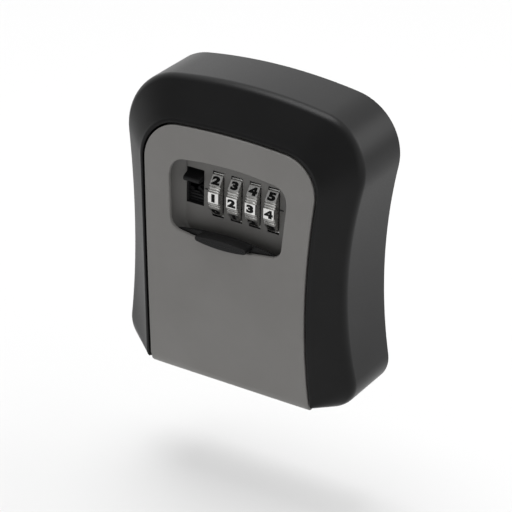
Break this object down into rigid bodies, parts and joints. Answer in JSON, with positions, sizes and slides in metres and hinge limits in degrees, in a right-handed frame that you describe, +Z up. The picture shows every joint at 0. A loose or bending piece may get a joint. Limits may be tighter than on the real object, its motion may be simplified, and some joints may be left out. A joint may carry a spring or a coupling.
{
  "type": "key lock box",
  "caption": "Waisted wall-mounted key safe with a crowned drop-down door, a recessed dial combination lock under a sliding shutter, and a thumb slide that draws the latch.",
  "frame": {"origin": "centre of the flat back face that meets the wall", "axes": "+Z up, +X to the viewer's right when facing the door, -Y out of the wall towards the viewer"},
  "size_m": [0.0994, 0.0415, 0.12],
  "materials": {
    "black_paint": "satin black powder coat",
    "grey_paint": "satin warm grey enamel",
    "zinc_dark": "matt black coated die-cast",
    "nickel": "satin nickel plate",
    "brass": "turned",
    "steel": "zinc-plated",
    "black_plastic": "fine matt moulding"
  },
  "bodies": {
    "housing": {"body_shell": "black_paint", "rear_tray": "zinc_dark", "key_hook": "steel", "tray_screw_1": "steel", "tray_screw_2": "steel", "tray_screw_3": "steel", "tray_screw_4": "steel", "hinge_pin_left": "steel", "hinge_pin_right": "steel"},
    "door": {"door_cover": "grey_paint", "lock_case": "grey_paint", "dial_spindle": "steel", "detent_spring": "steel", "latch_spring": "steel", "module_cover": "black_plastic", "cover_screw_1": "steel", "cover_screw_2": "steel", "cover_screw_3": "steel", "cover_screw_4": "steel"},
    "latch": {"latch_plate": "steel", "release_slide": "black_plastic"},
    "shutter": {"weather_shutter": "black_plastic"},
    "reset": {"reset_lever": "black_plastic"},
    "dial_wheel_1": {"dial_1": "nickel", "code_sleeve_1": "brass"},
    "dial_wheel_2": {"dial_2": "nickel", "code_sleeve_2": "brass"},
    "dial_wheel_3": {"dial_3": "nickel", "code_sleeve_3": "brass"},
    "dial_wheel_4": {"dial_4": "nickel", "code_sleeve_4": "brass"}
  },
  "joints": [
    {"name": "door_hinge", "type": "hinge", "parent": "housing", "child": "door", "pos_m": [0, -0.02782, -0.0529], "axis": [1, 0, 0], "range_deg": [0, 100]},
    {"name": "dial_spin_1", "type": "hinge", "parent": "door", "child": "dial_wheel_1", "pos_m": [-0.00722, -0.02453, 0.0184], "axis": [1, 0, 0], "continuous": true},
    {"name": "dial_spin_2", "type": "hinge", "parent": "door", "child": "dial_wheel_2", "pos_m": [0.0006, -0.02453, 0.0184], "axis": [1, 0, 0], "continuous": true},
    {"name": "dial_spin_3", "type": "hinge", "parent": "door", "child": "dial_wheel_3", "pos_m": [0.00842, -0.02453, 0.0184], "axis": [1, 0, 0], "continuous": true},
    {"name": "dial_spin_4", "type": "hinge", "parent": "door", "child": "dial_wheel_4", "pos_m": [0.01624, -0.02453, 0.0184], "axis": [1, 0, 0], "continuous": true},
    {"name": "latch_slide", "type": "slide", "parent": "door", "child": "latch", "axis": [0, 0, 1], "range_m": [-0.0045, 0], "stiffness_N_per_m": 400, "springref_m": 0.004, "deforming": ["latch_spring"]},
    {"name": "shutter_slide", "type": "hinge", "parent": "door", "child": "shutter", "pos_m": [0, 0.324, 0], "axis": [-1, 0, 0], "range_deg": [0, 3.9]},
    {"name": "reset_slide", "type": "slide", "parent": "door", "child": "reset", "axis": [1, 0, 0], "range_m": [0, 0.005]}
  ]
}
